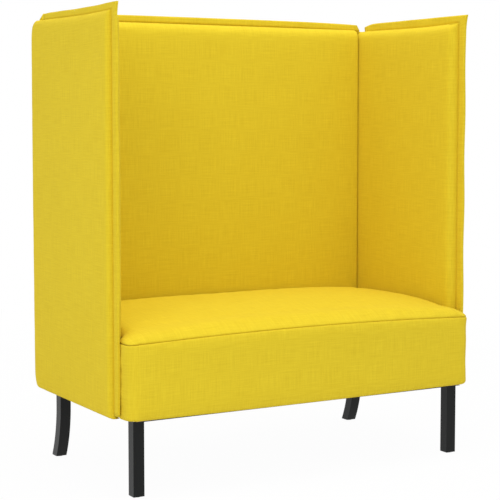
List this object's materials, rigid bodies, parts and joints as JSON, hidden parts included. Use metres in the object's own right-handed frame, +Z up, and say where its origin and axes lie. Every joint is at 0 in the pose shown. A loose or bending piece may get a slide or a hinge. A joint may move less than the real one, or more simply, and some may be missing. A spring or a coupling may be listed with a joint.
{
  "type": "high back settee",
  "caption": "High back settee with tall padded wings and back, welted edges, a boxed crowned seat, straight front legs and rear legs that sweep backwards.",
  "frame": {"origin": "on the floor under the middle of the settee's box", "axes": "+Z up, -Y towards the sitter's front, +X to the right as seen from the front; the two halves mirror each other in X"},
  "size_m": [1.166, 0.646, 1.3],
  "materials": {
    "cover_cloth": "woven, matt",
    "welt_cloth": "woven, matt",
    "leg_lacquer": "satin black lacquer",
    "pad_foam": "open-cell foam",
    "frame_timber": "planed",
    "frame_board": "smooth board",
    "felt": "needled felt",
    "dust_cloth": "non-woven",
    "glide_plastic": "matt",
    "fixing_steel": "zinc plated"
  },
  "bodies": {
    "root": {"back_bottom_rail": "frame_timber", "back_inner_board": "frame_board", "back_inner_cover": "cover_cloth", "back_inner_foam": "pad_foam", "back_middle_rail": "frame_timber", "back_outer_board": "frame_board", "back_outer_cover": "cover_cloth", "back_outer_foam": "pad_foam", "back_to_wing_bolts": "fixing_steel", "back_top_rail": "frame_timber", "back_welt": "welt_cloth", "dust_cover": "dust_cloth", "left_back_post": "frame_timber", "left_seat_rail": "frame_timber", "left_wing_bottom_rail": "frame_timber", "left_wing_front_post": "frame_timber", "left_wing_inner_board": "frame_board", "left_wing_inner_cover": "cover_cloth", "left_wing_inner_foam": "pad_foam", "left_wing_outer_board": "frame_board", "left_wing_outer_cover": "cover_cloth", "left_wing_outer_foam": "pad_foam", "left_wing_rear_post": "frame_timber", "left_wing_top_rail": "frame_timber", "left_wing_welt": "welt_cloth", "leg_front_left": "leg_lacquer", "leg_front_right": "leg_lacquer", "leg_glides": "glide_plastic", "leg_plates": "fixing_steel", "leg_rear_left": "leg_lacquer", "leg_rear_right": "leg_lacquer", "leg_studs": "fixing_steel", "plate_screws": "fixing_steel", "right_back_post": "frame_timber", "right_seat_rail": "frame_timber", "right_wing_bottom_rail": "frame_timber", "right_wing_front_post": "frame_timber", "right_wing_inner_board": "frame_board", "right_wing_inner_cover": "cover_cloth", "right_wing_inner_foam": "pad_foam", "right_wing_outer_board": "frame_board", "right_wing_outer_cover": "cover_cloth", "right_wing_outer_foam": "pad_foam", "right_wing_rear_post": "frame_timber", "right_wing_top_rail": "frame_timber", "right_wing_welt": "welt_cloth", "seat_border_cover": "cover_cloth", "seat_border_foam": "pad_foam", "seat_centre_rail": "frame_timber", "seat_corner_blocks": "frame_timber", "seat_felt": "felt", "seat_foam": "pad_foam", "seat_front_rail": "frame_timber", "seat_rear_rail": "frame_timber", "seat_springs": "fixing_steel", "seat_to_back_bolts": "fixing_steel", "seat_to_wing_bolts": "fixing_steel", "seat_top_cover": "cover_cloth", "spring_clips": "fixing_steel", "threaded_inserts": "fixing_steel"}
  },
  "joints": []
}
